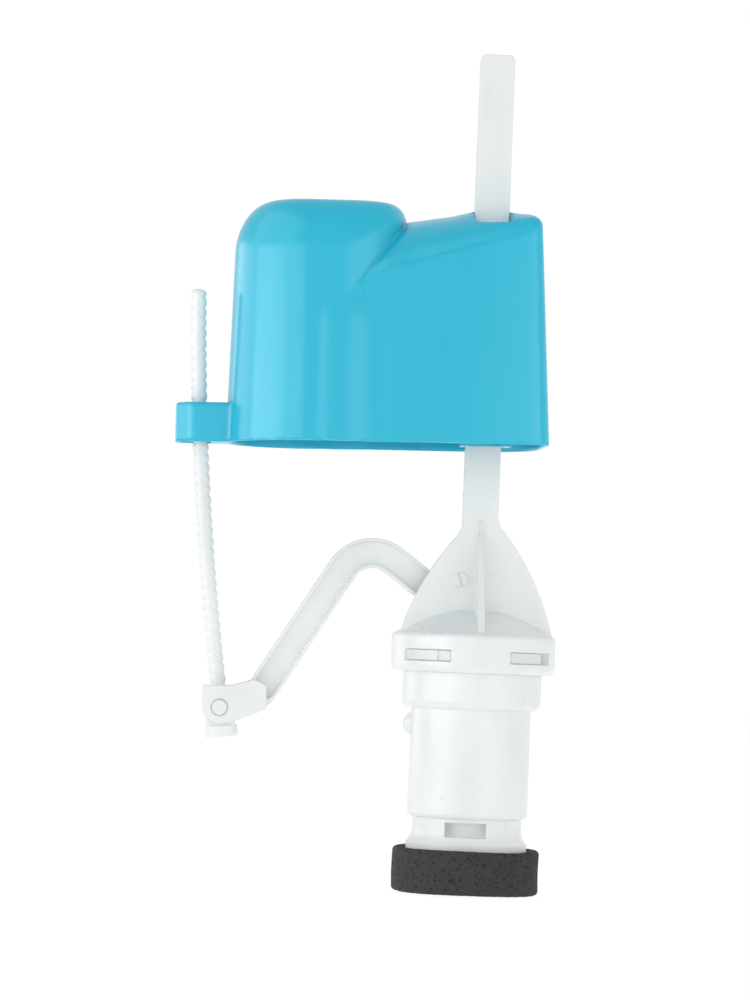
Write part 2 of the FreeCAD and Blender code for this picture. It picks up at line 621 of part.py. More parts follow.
def make_lever_arm():
    d = dim
    knee, arch = (d.knee_across, d.knee_level), (d.arch_across, d.arch_level)
    elbow, fork = (d.elbow_across, d.elbow_level), (d.fork_across, d.fork_level)
    band = strip("lever_band", [(d.nose_across, d.nose_level), knee, arch, elbow, fork],
                 [d.knee_round, d.arch_round, d.knee_round], d.lever_half,
                 -d.lever_thick_half, d.lever_thick_half)
    start = (d.pivot_across - 6, d.knee_level + 0.2)
    finish = (d.elbow_across + 1, d.elbow_level + 1.6)
    channels = [
        strip(f"lever_channel_{side}", [start, knee, arch, finish], [d.knee_round, d.arch_round],
              d.lever_half - d.lever_rim, low, high)
        for side, low, high in (("front", -d.lever_thick_half - 1, -d.lever_web_half),
                                ("back", d.lever_web_half, d.lever_thick_half + 1))]
    hub = cylinder("lever_hub", d.hub_radius, d.hub_half * 2,
                   (d.pivot_across, -d.hub_half, d.pivot_level), "Y")
    left = d.fork_across - d.fork_radius
    ears = plate("lever_fork", [
        (left, d.fork_level, d.fork_radius, 1), (d.fork_across, d.fork_level - d.fork_radius),
        (d.fork_across + 4.6, d.fork_level - 3), (d.elbow_across + 1.6, d.fork_level),
        (d.elbow_across + 1.4, d.elbow_level + 2), (d.elbow_across - 1.8, d.elbow_level + 3.4),
        (d.fork_across + 3, d.fork_top + 0.2), (left, d.fork_top)], -d.fork_half, d.fork_half * 2)
    gap = box("fork_gap", (left - 5, -d.fork_slot_half, d.fork_level - 10),
              (d.fork_slot_end, d.fork_slot_half, d.fork_top + 5))
    stub_bore = cylinder("stub_bore", d.fork_bore, 20, (d.fork_across, -10, d.fork_level), "Y")
    pivot_bore = cylinder("lever_bore", d.pivot_radius + d.pivot_gap, 20,
                          (d.pivot_across, -10, d.pivot_level), "Y")
    open_below = 0.6
    seat_height = d.pad_thick + open_below + 0.02
    pad_seat = cylinder("pad_seat", d.pad_radius + d.insert_gap, seat_height, pad_foot(-open_below))
    seat = moved("pad_seat_open", pad_seat, BACK, -d.close_angle, (d.pivot_across, 0, d.pivot_level))
    body = fuse("lever_whole", band, ears)
    body = cut("lever_channelled", body, *channels)
    return cut("lever_arm", fuse("lever_with_hub", body, hub), gap, stub_bore, pivot_bore, seat)


def pad_foot(lift):
    """The centre of the closed pad's lower face, lifted, as seen from the pivot."""
    return (-dim.pivot_across, 0, dim.pad_closed_level - dim.pivot_level + lift)


def make_pilot_seal():
    pad = cylinder("seal_pad", dim.pad_radius, dim.pad_thick, pad_foot(0))
    return moved("pilot_seal", pad, BACK, -dim.close_angle, (dim.pivot_across, 0, dim.pivot_level))


def make_rod_shoe():
    """A block with two stub pins and a round foot, leaning with the rod about the stub pins."""
    d = dim
    half, deep = d.shoe_half, d.shoe_depth_half
    block = box("shoe_block", (-half, -deep, -d.shoe_under - 1), (half, deep, d.shoe_over))
    stubs = cylinder("shoe_stubs", d.stub_radius, d.stub_reach * 2, (0, -d.stub_reach, 0), "Y")
    top = -d.shoe_under - 0.4
    low = top - d.knob_height
    foot = turned("shoe_foot", [
        (0, low), (d.knob_radius - d.knob_round, low, d.knob_round, 1),
        (d.knob_radius, low + d.knob_round), (d.knob_radius, top), (0, top)])
    socket = cylinder("shoe_socket", d.shoe_socket, 20, (0, 0, -d.shoe_socket_floor))
    solid = cut("shoe_upright", fuse("shoe_whole", block, stubs, foot), socket)
    return moved("rod_shoe", solid, BACK, -d.shoe_lean, (d.fork_across, 0, d.fork_level))


def make_level_rod():
    d = dim
    body = new_body("level_rod")
    points = [(d.rod_foot_across, d.rod_foot), (d.rod_mid_across, d.rod_mid_level),
              (d.rod_bow_across, d.rod_bow_level), (d.rod_grip_across, d.rod_grip_level),
              (d.rod_top_across, d.rod_top)]
    bends = [d.rod_bend * 2, d.rod_bend * 2, d.rod_bend]
    spine = draw_path(new_sketch("rod_spine", "XZ", body), points, bends)
    section = new_sketch("rod_section", "XY", body, d.rod_foot)
    draw_circle(section, d.rod_foot_across, 0, d.rod_radius)
    sweep = body.newObject("PartDesign::AdditivePipe", "rod_sweep")
    sweep.Profile = section
    sweep.Spine = spine
    body.Tip = sweep
    return body


# Float

def drafted(name, outline, low, height):
    """A solid that stands on an outline at a level and narrows upwards by the float's draft."""
    body = new_body(name)
    sketch = draw(new_sketch(f"{name}_outline", "XY", body, low), outline)
    pad = body.newObject("PartDesign::Pad", f"{name}_pad")
    pad.Profile = sketch
    pad.setExpression("Length", height.text)
    pad.setExpression("TaperAngle", (-dim.float_draft).text)
    body.Tip = pad
    return body


def float_block(name, inset):
    """The float's outer form, or its hollow when inset by the wall: a tapering box and a domed lobe."""
    d = dim
    low = d.float_rim - as_size(inset) * 0.4
    left, right = d.lobe_across, d.float_right - inset
    front, back = d.float_front + inset, d.float_back - inset
    small, large = d.front_corner - inset, d.back_corner - inset
    block = drafted(f"{name}_box", [
        (left, front), (right - small, front, small, 1), (right, front + small),
        (right, back - large, large, 1), (right - large, back), (left, back)],
        low, d.box_top - inset - low)
    radius = d.lobe_radius - inset
    far = left + d.lobe_stretch
    lobe = drafted(f"{name}_lobe", [
        (left, radius, radius, 1), (left - radius, 0, radius, 1), (left, -radius),
        (far, -radius, radius, 1), (far + radius, 0, radius, 1), (far, radius)],
        low, d.lobe_top - inset - low)
    top = d.lobe_top.value - as_size(inset).value
    domed = rounded(f"{name}_domed", lobe, d.lobe_round - inset,
                    lambda edge: abs(edge.BoundBox.ZMin - top) < 0.01 and edge.BoundBox.ZLength < 0.01)
    roof = cut(f"{name}_roofed", block, roof_cutter(f"{name}_roof", inset))
    return fuse(name, roof, domed)


def roof_cutter(name, inset):
    """A block above the sloping roof, whose plane holds the crease's foot, the notch and the far end."""
    d = dim
    notch = FreeCAD.Vector(d.notch_across.value, d.notch_depth.value, d.notch_level.value)
    front = d.float_front.value
    crease = FreeCAD.Vector(d.crease_across.value, front, d.crease_level.value)
    far = FreeCAD.Vector(d.roof_end_across.value, front, d.roof_end_level.value)
    normal = (far - crease).cross(notch - crease).normalize()
    block = doc.addObject("Part::Box", name)
    bind(block, Length=200, Width=200, Height=60)
    turn = FreeCAD.Rotation(FreeCAD.Vector(0, 0, 1), normal)
    start = crease - normal * as_size(inset).value - turn.multVec(FreeCAD.Vector(100, 100, 0))
    block.Placement = FreeCAD.Placement(start, turn)
    return block


def make_float_cup():
    """The cup leans on its stem; the stem's slot and the rod's passage are upright."""
    d = dim
    shell = cut("float_shell", float_block("float_outer", 0), float_block("float_hollow", d.float_wall))
    middle = d.sleeve_shift
    sleeve = box("guide_sleeve", (middle - d.sleeve_half, d.sleeve_front, d.float_rim),
                 (middle + d.sleeve_half, d.sleeve_back, d.box_top - d.float_wall * 0.5))
    trimmed = cut("guide_trimmed", sleeve, roof_cutter("sleeve_roof", 0.3))
    left, deep, bevel = d.bracket_left, d.bracket_half_depth, d.bracket_bevel
    right = d.lobe_across - d.lobe_radius + 1.2
    bracket = new_body("rod_bracket")
    sketch = draw(new_sketch("bracket_outline", "XY", bracket, d.float_rim), [
        (left, bevel - deep), (left + bevel, -deep), (right, -deep), (right, deep), (left, deep)])
    pad = bracket.newObject("PartDesign::Pad", "bracket_pad")
    pad.Profile = sketch
    pad.setExpression("Length", d.bracket_height.text)
    bracket.Tip = pad
    lobe_hollow = cylinder("lobe_hollow", d.lobe_radius - d.float_wall, 30,
                           (d.lobe_across, 0, d.float_rim - 5))
    clear_bracket = cut("bracket_clear", bracket, lobe_hollow)
    leaning = leaned("float_leaning", fuse("float_whole", shell, trimmed, clear_bracket))
    guide = box("stem_slot", (-d.stem_half - d.guide_gap, d.fin_front - d.guide_gap, d.float_rim - 5),
                (d.stem_half + d.guide_gap, d.fin_front + d.stem_thick + d.guide_gap, d.lobe_top + 5))
    passage = box("rod_passage", (d.passage_left, -d.passage_half_depth, d.float_rim - 5),
                  (d.passage_right, d.passage_half_depth, d.float_rim + d.bracket_height + 5))
    return cut("float_cup", leaning, guide, passage)


def leaned(label, obj):
    """An object leaned towards -X about a point on the float's rim."""
    whole = doc.addObject("Part::Compound", label)
    whole.Links = [obj]
    pivot = FreeCAD.Vector(dim.lean_across.value, 0, dim.float_rim.value)
    turn = FreeCAD.Rotation(BACK, -dim.float_lean.value)
    whole.Placement = FreeCAD.Placement(FreeCAD.Vector(), turn, pivot)
    return whole


MAKERS = (
    make_valve_body, make_foam_ring, make_inlet_washer, make_inlet_strainer, make_flow_restrictor,
    make_seat_nozzle, make_seat_o_ring, make_metering_pin, make_diaphragm, make_diaphragm_plate,
    make_bayonet_ring, make_bonnet_o_ring, make_bonnet, make_pilot_nozzle, make_pivot_pin,
    make_lever_arm, make_pilot_seal, make_rod_shoe, make_level_rod, make_float_cup,
)


def main():
    parts = [maker() for maker in MAKERS]
    doc.recompute()
    faults = [f"{obj.Label}: {obj.State}" for obj in doc.Objects if {"Invalid", "Error"} & set(obj.State)]
    for part in parts:
        if part.Shape.isNull() or not part.Shape.isValid():
            faults.append(f"{part.Label}: no valid shape")
    if faults:
        raise SystemExit("\n".join(faults))
    os.makedirs("parts", exist_ok=True)
    for part in parts:
        part.Shape.exportStep(os.path.join("parts", f"{part.Label}.step"))
        print(f"{part.Label}: {len(part.Shape.Solids)} solid, {part.Shape.Volume:.0f} mm3")


main()
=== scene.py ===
"""Looks for the float valve: camera, soft light, materials, and the moulded float, rod and foam ring."""
import json
import math

import bmesh
import bpy
import numpy as np
from mathutils import Matrix, Vector


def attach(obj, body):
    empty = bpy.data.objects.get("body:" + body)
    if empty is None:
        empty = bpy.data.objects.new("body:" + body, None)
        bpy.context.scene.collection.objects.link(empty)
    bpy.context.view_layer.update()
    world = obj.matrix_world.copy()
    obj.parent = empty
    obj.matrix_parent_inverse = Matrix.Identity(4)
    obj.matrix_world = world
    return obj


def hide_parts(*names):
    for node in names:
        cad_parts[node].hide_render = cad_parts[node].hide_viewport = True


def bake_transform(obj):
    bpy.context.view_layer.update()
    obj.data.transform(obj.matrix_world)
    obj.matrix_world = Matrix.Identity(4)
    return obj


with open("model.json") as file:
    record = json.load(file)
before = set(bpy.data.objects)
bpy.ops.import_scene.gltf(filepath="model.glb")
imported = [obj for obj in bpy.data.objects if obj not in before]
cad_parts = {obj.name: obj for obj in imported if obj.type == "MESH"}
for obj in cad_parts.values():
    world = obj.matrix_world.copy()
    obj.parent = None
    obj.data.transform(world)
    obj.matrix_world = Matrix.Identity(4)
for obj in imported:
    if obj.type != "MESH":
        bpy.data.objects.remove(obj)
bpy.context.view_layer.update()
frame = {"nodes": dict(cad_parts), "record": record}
MM = 0.001

# Camera: a long lens, a little left of the fin and low, rolled so that the stem leans right.
VIEW_AZIMUTH = math.radians(-4.0)
VIEW_PITCH = math.radians(2.6)
VIEW_ROLL = math.radians(2.28)
VIEW_DISTANCE = 0.85
VIEW_TARGET = Vector((-26.1, 0.0, 96.8)) * MM
LENS = 122.4

# Studio: how bright the sky is near the horizon and overhead, and behind the object.
SKY_LOW = 0.93
SKY_HIGH = 0.70
SKY_SEEN = 1.02
PANEL_AIM = Vector((-20.0, 0.0, 130.0)) * MM
FLOOR_GLOW = 0.93

# The float, in millimetres, upright; it leans on its stem by FLOAT_LEAN about a point on its rim.
# The lobe is the tall round end on the left, and the block is the box round the stem.
FLOAT_LEAN = math.radians(1.35)
LEAN_SPOT = (-62.0, 109.5)
RIM = 109.5
WALL = 1.25
DRAFT = math.tan(math.radians(1.9))
LOBE_ENDS = (-44.7, -37.0)
LOBE_RADIUS = 19.3
LOBE_TOP = 170.1
BLOCK_LEFT = -44.0
BLOCK_RIGHT = 15.5
BLOCK_RIGHT_DRAFT = 0.011
BLOCK_FRONT = -18.8
BLOCK_BACK = 17.2
FRONT_CORNER = 5.0
BACK_CORNER = 14.0
BLOCK_BULGE = 0.5
BULGE_MIDDLE = -8.0
# The roof's front edge and its crest, as (across, level).
ROOF_EDGE = ((-36.0, 146.2), (-31.5, 149.5), (-26.0, 153.5), (-22.5, 155.0), (15.5, 166.7))
ROOF_CREST_LINE = ((-33.5, 158.0), (-29.0, 161.8), (-24.0, 164.6), (-19.0, 166.4), (-8.0, 168.1),
                   (-2.0, 169.6), (3.0, 169.8), (8.5, 168.8), (15.5, 167.8))
ROOF_CREST = 5.0
ROOF_RUN = 8.0
BRACKET_SPAN = (-76.5, -60.0)
BRACKET_HALF_DEPTH = 5.5
BRACKET_BEVEL = 3.5
BRACKET_HEIGHT = 9.8
# Boss and openings: spans across and in depth, and a corner radius; the recess has a span in level.
SLEEVE = ((-5.7, 7.1), (-8.0, -1.4))
STEM_SLOT = ((-4.52, 4.52), (-6.35, -3.05), 0.4)
STEM_RECESS = ((-4.52, 4.52), (166.2, 190.0), 1.2)
ROD_PASSAGE = ((-75.0, -67.6), (-2.45, 2.45), 0.5)
FLOAT_BOX = ((-78.0, -22.6, 108.0), (17.0, 22.6, 173.5))
FLOAT_CELL = 0.5

# The level rod's centre line, as (across, level) in millimetres, and its teeth.
ROD_LINE = ((-62.3, 42.0), (-66.95, 76.0), (-69.9, 103.0), (-70.8, 118.0), (-72.3, 147.7))
ROD_TOOTH_PITCH = 2.6
ROD_SIDE = 1.62
ROD_FRONT = 1.72
ROD_TOOTH = 0.45
ROD_END = 1.4
ROD_RINGS = 640
ROD_AROUND = 36
ROD_BEND = (107.5, 49.0)

# The foam ring, in millimetres.
FOAM_BORE = 10.3
FOAM_RADIUS = 18.4
FOAM_HEIGHT = 10.5
FOAM_BULGE = 0.55
FOAM_CORNER = 1.0
FOAM_AROUND = 300
FOAM_STEP = 0.38
FOAM_PITS = 1500


# Camera and studio

def make_camera():
    camera = bpy.data.objects.new("camera", bpy.data.cameras.new("camera"))
    bpy.context.scene.collection.objects.link(camera)
    camera.data.lens = LENS
    camera.data.clip_start = 0.01
    camera.data.clip_end = 20
    back = Vector((math.sin(VIEW_AZIMUTH) * math.cos(VIEW_PITCH),
                   -math.cos(VIEW_AZIMUTH) * math.cos(VIEW_PITCH), -math.sin(VIEW_PITCH)))
    turn = back.to_track_quat("Z", "Y").to_matrix().to_4x4()
    roll = Matrix.Rotation(VIEW_ROLL, 4, "Z")
    camera.matrix_world = Matrix.Translation(VIEW_TARGET + back * VIEW_DISTANCE) @ turn @ roll
    bpy.context.scene.camera = camera


def make_panel(name, azimuth, elevation, distance, size, radiance, gloss_only=False):
    """A soft panel aimed at the float; azimuth is in degrees from -Y, positive towards -X."""
    a, e = math.radians(azimuth), math.radians(elevation)
    away = Vector((-math.sin(a) * math.cos(e), -math.cos(a) * math.cos(e), math.sin(e)))
    light = bpy.data.objects.new(name, bpy.data.lights.new(name, "AREA"))
    bpy.context.scene.collection.objects.link(light)
    light.data.shape = "RECTANGLE"
    light.data.size, light.data.size_y = size
    light.data.energy = radiance * math.pi * size[0] * size[1]
    light.visible_diffuse = not gloss_only
    turn = away.to_track_quat("Z", "Y").to_matrix().to_4x4()
    light.matrix_world = Matrix.Translation(PANEL_AIM + away * distance) @ turn


def make_studio():
    """A white room: a sky that dims overhead, a panel on the left, five that only show in gloss, a floor."""
    scene = bpy.context.scene
    scene.view_settings.view_transform = "Standard"
    world = bpy.data.worlds.new("studio")
    scene.world = world
    world.use_nodes = True
    nodes, links = world.node_tree.nodes, world.node_tree.links
    path = nodes.new("ShaderNodeLightPath")
    direction = nodes.new("ShaderNodeTexCoord")
    split = nodes.new("ShaderNodeSeparateXYZ")
    height = nodes.new("ShaderNodeMapRange")
    seen = nodes.new("ShaderNodeMapRange")
    for socket, value in (("From Min", 0.1), ("From Max", 0.8), ("To Min", SKY_LOW), ("To Max", SKY_HIGH)):
        height.inputs[socket].default_value = value
    seen.inputs["To Max"].default_value = SKY_SEEN
    links.new(direction.outputs["Generated"], split.inputs["Vector"])
    links.new(split.outputs["Z"], height.inputs["Value"])
    links.new(path.outputs["Is Camera Ray"], seen.inputs["Value"])
    links.new(height.outputs["Result"], seen.inputs["To Min"])
    links.new(seen.outputs["Result"], nodes["Background"].inputs["Strength"])
    nodes["Background"].inputs["Color"].default_value = (1, 1, 1, 1)
    make_panel("left_panel", 62, 8, 1.1, (1.7, 0.55), 0.28)
    for name, azimuth, elevation, size, radiance in (
            ("left_edge_sheen", 17, 0, (0.40, 0.50), 2.0), ("left_sheen", 60, -3, (1.05, 0.50), 4.2),
            ("high_left_sheen", 62, 42, (1.5, 0.9), 1.0), ("left_side_sheen", 117, 0, (0.9, 0.50), 1.8),
            ("right_sheen", -38, 0, (1.05, 0.50), 1.7)):
        make_panel(name, azimuth, elevation, 1.0, size, radiance, gloss_only=True)
    bpy.ops.mesh.primitive_plane_add(size=8, location=(0, 0, -0.0002))
    floor = bpy.context.object
    floor.name = "floor"
    floor.data.materials.append(floor_material())


def floor_material():
    material = bpy.data.materials.new("floor_white")
    material.use_nodes = True
    shader = material.node_tree.nodes["Principled BSDF"]
    shader.inputs["Base Color"].default_value = (0.12, 0.12, 0.12, 1)
    shader.inputs["Roughness"].default_value = 0.9
    shader.inputs["Specular IOR Level"].default_value = 0.0
    shader.inputs["Emission Color"].default_value = (1, 1, 1, 1)
    shader.inputs["Emission Strength"].default_value = FLOOR_GLOW
    return material


# Materials

class Nodes:
    """A short way to write a material's node tree; lengths of texture detail are in millimetres."""

    def __init__(self, name, **sockets):
        self.material = bpy.data.materials.new(name)
        self.material.use_nodes = True
        self.tree = self.material.node_tree
        self.shader = self.tree.nodes["Principled BSDF"]
        self.coordinates = self.add("ShaderNodeTexCoord").outputs["Object"]
        for socket, value in sockets.items():
            self.shader.inputs[socket.replace("_", " ")].default_value = value

    def add(self, kind, inputs=(), **settings):
        node = self.tree.nodes.new(kind)
        for setting, value in settings.items():
            setattr(node, setting, value)
        for socket, value in dict(inputs).items():
            if isinstance(value, bpy.types.NodeSocket):
                self.tree.links.new(value, node.inputs[socket])
            else:
                node.inputs[socket].default_value = value
        return node

    def noise(self, length, detail=3.0, stretch=(1, 1, 1), roughness=0.5):
        """Noise from 0 to 1 with features of a length, stretched along the axes."""
        mapping = self.add("ShaderNodeMapping", {"Vector": self.coordinates, "Scale": stretch})
        return self.add("ShaderNodeTexNoise", {
            "Vector": mapping.outputs[0], "Scale": 1000.0 / length, "Detail": detail,
            "Roughness": roughness}).outputs["Fac"]

    def cells(self, length, randomness=1.0):
        """Distance to the nearest point of a scattered pattern."""
        return self.add("ShaderNodeTexVoronoi", {
            "Vector": self.coordinates, "Scale": 1000.0 / length,
            "Randomness": randomness}).outputs["Distance"]

    def ramp(self, value, low, high, out_low=0.0, out_high=1.0):
        """Maps a value from one range to another, held at its ends."""
        return self.add("ShaderNodeMapRange", {
            "Value": value, "From Min": low, "From Max": high, "To Min": out_low,
            "To Max": out_high}).outputs["Result"]

    def mix(self, share, first, second):
        node = self.add("ShaderNodeMix", data_type="RGBA")
        for socket, value in ((node.inputs[0], share), (node.inputs[6], first), (node.inputs[7], second)):
            if isinstance(value, bpy.types.NodeSocket):
                self.tree.links.new(value, socket)
            elif isinstance(value, tuple):
                socket.default_value = (*value, 1)
            else:
                socket.default_value = value
        return node.outputs[2]

    def drive(self, socket, value):
        self.tree.links.new(value, self.shader.inputs[socket])

    def openness(self, reach):
        """1 on open faces, falling to 0 deep in gaps narrower than a reach in millimetres."""
        return self.add("ShaderNodeAmbientOcclusion", {"Distance": reach * MM}, samples=8).outputs["AO"]

    def painted_bore_glow(self, strength):
        """Painted light: a glow strength for the bore behind the outlet windows, standing in for light that
        soaks through the barrel's wall.

        The barrel doesn't move, so a distance from the origin's vertical axis finds the bore in every pose.
        """
        place = self.add("ShaderNodeNewGeometry").outputs["Position"]
        across = self.add("ShaderNodeVectorMath", {0: place, 1: (1, 1, 0)}, operation="MULTIPLY").outputs[0]
        radius = self.add("ShaderNodeVectorMath", {0: across}, operation="LENGTH").outputs["Value"]
        level = self.add("ShaderNodeSeparateXYZ", {"Vector": place}).outputs["Z"]
        low = self.ramp(level, 24 * MM, 28 * MM, strength, 0.0)
        within = self.ramp(radius, 12.2 * MM, 12.8 * MM, 1.0, 0.0)
        return self.add("ShaderNodeMath", {0: low, 1: within}, operation="MULTIPLY").outputs[0]

    def bump(self, *layers, edge=0.0):
        """Stacks bump layers of (height, depth in millimetres) on softly rounded edges."""
        normal = None
        if edge:
            normal = self.add("ShaderNodeBevel", {"Radius": edge * MM}, samples=6).outputs[0]
        for height, depth in layers:
            inputs = {"Height": height, "Strength": 1.0, "Distance": depth * MM}
            if normal is not None:
                inputs["Normal"] = normal
            normal = self.add("ShaderNodeBump", inputs).outputs[0]
        self.tree.links.new(normal, self.shader.inputs["Normal"])


def shade(colour, factor):
    return tuple(channel * factor for channel in colour)


def blue_plastic():
    """Glossy polypropylene: faint flow marks down the walls, scattered dust and a few fine scuffs; painted
    shade darkens its creases and gaps.
    """
    colour = (0.008, 0.515, 0.725)
    n = Nodes("blue_plastic", IOR=1.49)
    flow = n.noise(26, 4, (1, 1, 0.25))
    cloud = n.noise(9, 3)
    tint = n.mix(n.ramp(flow, 0.35, 0.65), shade(colour, 0.965), shade(colour, 1.03))
    tint = n.mix(n.ramp(cloud, 0.3, 0.7, 0.0, 0.35), tint, shade(colour, 0.97))
    dust = n.ramp(n.cells(9.0), 0.0, 0.022, 1.0, 0.0)
    rare = n.ramp(n.noise(14, 1), 0.56, 0.60)
    speck = n.add("ShaderNodeMath", {0: dust, 1: rare}, operation="MULTIPLY").outputs[0]
    tint = n.mix(speck, tint, (0.62, 0.80, 0.86))
    # Painted shade: deep in creases and gaps, where the openness falls, the base colour darkens towards a
    # third of the blue.
    n.drive("Base Color", n.mix(n.ramp(n.openness(2.5), 0.45, 0.92, 0.8, 0.0), tint, shade(colour, 0.35)))
    scuff = n.noise(3.0, 6, (1, 1, 0.12), 0.65)
    n.drive("Roughness", n.ramp(scuff, 0.3, 0.75, 0.21, 0.28))
    n.bump((n.noise(16, 2, (1, 1, 0.4)), 0.05), (n.noise(0.35, 2), 0.0012))
    return n.material


def white_plastic(name="white_plastic", colour=(0.86, 0.895, 0.885), edge=0.35, painted_gap_glow=0.13):
    """Satin acetal, a little translucent: cloudy, with soft moulded edges; painted light makes it glow in
    its gaps and in the bore behind the outlet windows.
    """
    n = Nodes(name, IOR=1.48)
    n.shader.inputs["Subsurface Weight"].default_value = 0.25
    n.shader.inputs["Subsurface Radius"].default_value = (1.0, 1.0, 1.0)
    n.shader.inputs["Subsurface Scale"].default_value = 1.2 * MM
    cloud = n.noise(12, 4, (1, 1, 0.45))
    tint = n.mix(n.ramp(cloud, 0.35, 0.65), shade(colour, 0.965), shade(colour, 1.025))
    streak = n.noise(4, 5, (1, 1, 0.15), 0.6)
    tint = n.mix(n.ramp(streak, 0.62, 0.75, 0.0, 0.04), tint, (0.66, 0.69, 0.655))
    n.drive("Base Color", tint)
    # Painted light: the plastic emits its own tint, strongest deep in gaps where the openness falls and in
    # the bore behind the outlet windows.
    n.drive("Emission Color", tint)
    gaps = n.ramp(n.openness(3.0), 0.05, 0.60, painted_gap_glow, 0.0)
    n.drive("Emission Strength", n.add("ShaderNodeMath", {0: gaps, 1: n.painted_bore_glow(0.11)}).outputs[0])
    n.drive("Roughness", n.ramp(n.noise(2.5, 5), 0.3, 0.7, 0.26, 0.40))
    n.bump((n.noise(7, 2), 0.02), (n.noise(0.3, 2), 0.0015), edge=edge)
    return n.material


def cream_plastic():
    return white_plastic("cream_plastic", (0.78, 0.81, 0.765), 0.2)


def grey_plastic():
    """Moulded grey plastic with a fine grain."""
    n = Nodes("grey_plastic")
    n.drive("Base Color", n.mix(n.noise(6, 3), (0.33, 0.35, 0.36), (0.39, 0.41, 0.42)))
    n.drive("Roughness", n.ramp(n.noise(1.5, 4), 0.3, 0.7, 0.38, 0.55))
    n.bump((n.noise(0.4, 3), 0.004), edge=0.15)
    return n.material


def black_rubber():
    """Moulded rubber: nearly black, dull, with a bloom of pale dust."""
    n = Nodes("black_rubber")
    n.drive("Base Color", n.mix(n.ramp(n.noise(2, 5), 0.45, 0.75, 0.0, 0.5), (0.012, 0.012, 0.012),
                                (0.05, 0.05, 0.048)))
    n.drive("Roughness", n.ramp(n.noise(1.0, 4), 0.3, 0.7, 0.5, 0.75))
    n.bump((n.noise(0.25, 3), 0.006))
    return n.material


def steel():
    """Drawn wire: lines along its length."""
    n = Nodes("steel", Metallic=1.0)
    lines = n.noise(0.15, 3, (1, 1, 0.03))
    n.drive("Base Color", n.mix(lines, (0.50, 0.50, 0.51), (0.68, 0.68, 0.69)))
    n.drive("Roughness", n.ramp(lines, 0.3, 0.7, 0.22, 0.42))
    n.bump((lines, 0.003))
    return n.material


def foam():
    """Closed-cell foam: charcoal, with pits darkened by painted shade, bright specks of painted glints off
    the cell walls and a velvety grain.
    """
    n = Nodes("foam")
    cell = n.cells(0.55)
    # Painted shade: the pits, where the bump below sinks, darken almost to black.
    pit = n.ramp(n.cells(1.15), 0.10, 0.30, 1.0, 0.0)
    grain = n.noise(0.5, 4, roughness=0.7)
    tint = n.mix(n.ramp(grain, 0.3, 0.7), (0.030, 0.029, 0.027), (0.062, 0.061, 0.057))
    tint = n.mix(pit, tint, (0.010, 0.010, 0.009))
    # Painted highlight: scattered bright specks stand in for glints off torn cell walls.
    painted_glint = n.ramp(n.noise(0.32, 2), 0.70, 0.78)
    n.drive("Base Color", n.mix(painted_glint, tint, (0.17, 0.17, 0.165)))
    n.drive("Roughness", n.ramp(grain, 0.2, 0.8, 0.78, 0.95))
    n.shader.inputs["Specular IOR Level"].default_value = 0.25
    n.bump((cell, 0.10), (n.ramp(n.cells(1.15), 0.05, 0.34), 0.22), (grain, 0.08))
    return n.material


MATERIALS = {maker.__name__: maker() for maker in
             (blue_plastic, white_plastic, cream_plastic, grey_plastic, black_rubber, steel, foam)}


def paint_nodes():
    """Every CAD node takes the material of its slot in the record."""
    slots = {part["node"]: part["material_slot"] for part in frame["record"]["subparts"]}
    for name, node in frame["nodes"].items():
        node.data.materials.clear()
        node.data.materials.append(MATERIALS[slots[name]])


# Meshes

def make_mesh(name, points, faces, slot, sharp_angle=None):
    """A shaded piece from points in millimetres and faces of equal size."""
    mesh = bpy.data.meshes.new(name)
    mesh.from_pydata((np.asarray(points) * MM).tolist(), [], np.asarray(faces).tolist())
    mesh.validate()
    mesh.polygons.foreach_set("use_smooth", [True] * len(mesh.polygons))
    if sharp_angle is not None:
        mesh.set_sharp_from_angle(angle=math.radians(sharp_angle))
    piece = bpy.data.objects.new(name, mesh)
    bpy.context.scene.collection.objects.link(piece)
    mesh.materials.append(MATERIALS[slot])
    return piece


def smooth_step(value, low, high):
    t = np.clip((value - low) / (high - low), 0, 1)
    return t * t * (3 - 2 * t)


def soft_union(a, b, reach):
    """The union of two distance fields, filleted over a reach."""
    h = np.maximum(reach - np.abs(a - b), 0) / reach
    return np.minimum(a, b) - h * h * reach / 4


def round_meet(a, b, radius):
    """The common part of two distance fields, with its edge rounded to a radius."""
    outside = np.sqrt(np.maximum(a + radius, 0) ** 2 + np.maximum(b + radius, 0) ** 2)
    return np.minimum(np.maximum(a, b), -radius) + outside


def rounded_rectangle(x, y, spans, radius):
    """Distance to a rectangle of ((x0, x1), (y0, y1)) with rounded corners."""
    (x0, x1), (y0, y1) = spans
    qx = np.abs(x - (x0 + x1) / 2) - (x1 - x0) / 2 + radius
    qy = np.abs(y - (y0 + y1) / 2) - (y1 - y0) / 2 + radius
    return np.minimum(np.maximum(qx, qy), 0) + np.hypot(np.maximum(qx, 0), np.maximum(qy, 0)) - radius


def lobe_field(x, y, z):
    """A tapering column, longer than it is deep, with a domed edge that is tighter on the right."""
    nearest = np.clip(x, *LOBE_ENDS)
    side = np.hypot(x - nearest, y) - LOBE_RADIUS + (z - RIM) * DRAFT
    share = smooth_step(x, -37, -21)
    across, down = 9.5 - 5.0 * share, 13.0 - 7.5 * share
    u, v = np.maximum(side + across, 1e-6) / across, np.maximum(z - LOBE_TOP + down, 1e-6) / down
    return (np.hypot(u, v) - 1) * (across * u + down * v) / (u + v)


def roof_level(x, y):
    """The roof climbs from its front edge to its crest, ever more gently."""
    edge = np.interp(x, *np.array(ROOF_EDGE).T)
    crest = np.interp(x, *np.array(ROOF_CREST_LINE).T)
    front = BLOCK_FRONT + 1.5
    share = 1 - np.exp(-np.clip(y - front, 0, None) / ROOF_RUN)
    return edge + (crest - edge) * share / (1 - math.exp((front - ROOF_CREST) / ROOF_RUN))


